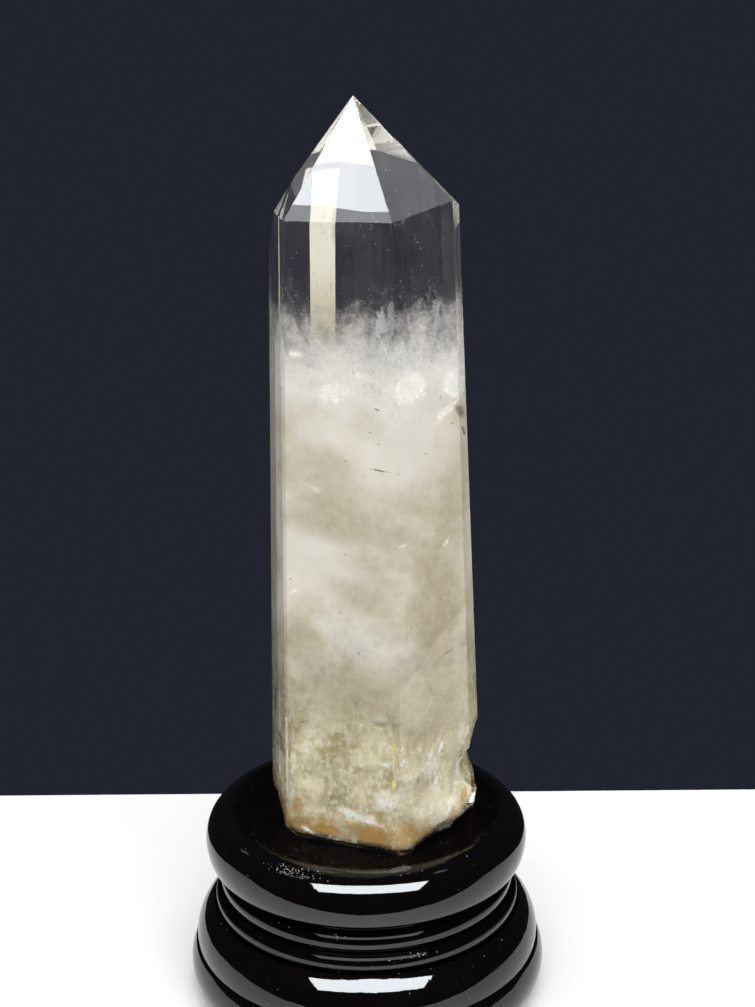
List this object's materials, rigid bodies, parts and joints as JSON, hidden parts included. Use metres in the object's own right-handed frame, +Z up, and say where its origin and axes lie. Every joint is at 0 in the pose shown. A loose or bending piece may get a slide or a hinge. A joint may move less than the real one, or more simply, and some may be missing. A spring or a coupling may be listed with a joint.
{
  "type": "quartz point on a stand",
  "caption": "Polished quartz point with a clear tip, a milky lower half and a broken foot, standing in the shallow dish of a round turned stand of black lacquered wood.",
  "frame": {"origin": "centre of the stand's flat underside, on the surface that it stands on", "axes": "+Z up through the crystal's tip, -Y the front, towards which the crystal's broadest face looks"},
  "size_m": [0.0856, 0.0856, 0.2099],
  "materials": {
    "quartz": "polished faces, clear at the tip and milky below, rough where broken",
    "black_lacquer": "high gloss black lacquer"
  },
  "bodies": {
    "root": {"quartz_point": "quartz", "stand": "black_lacquer"}
  },
  "joints": []
}
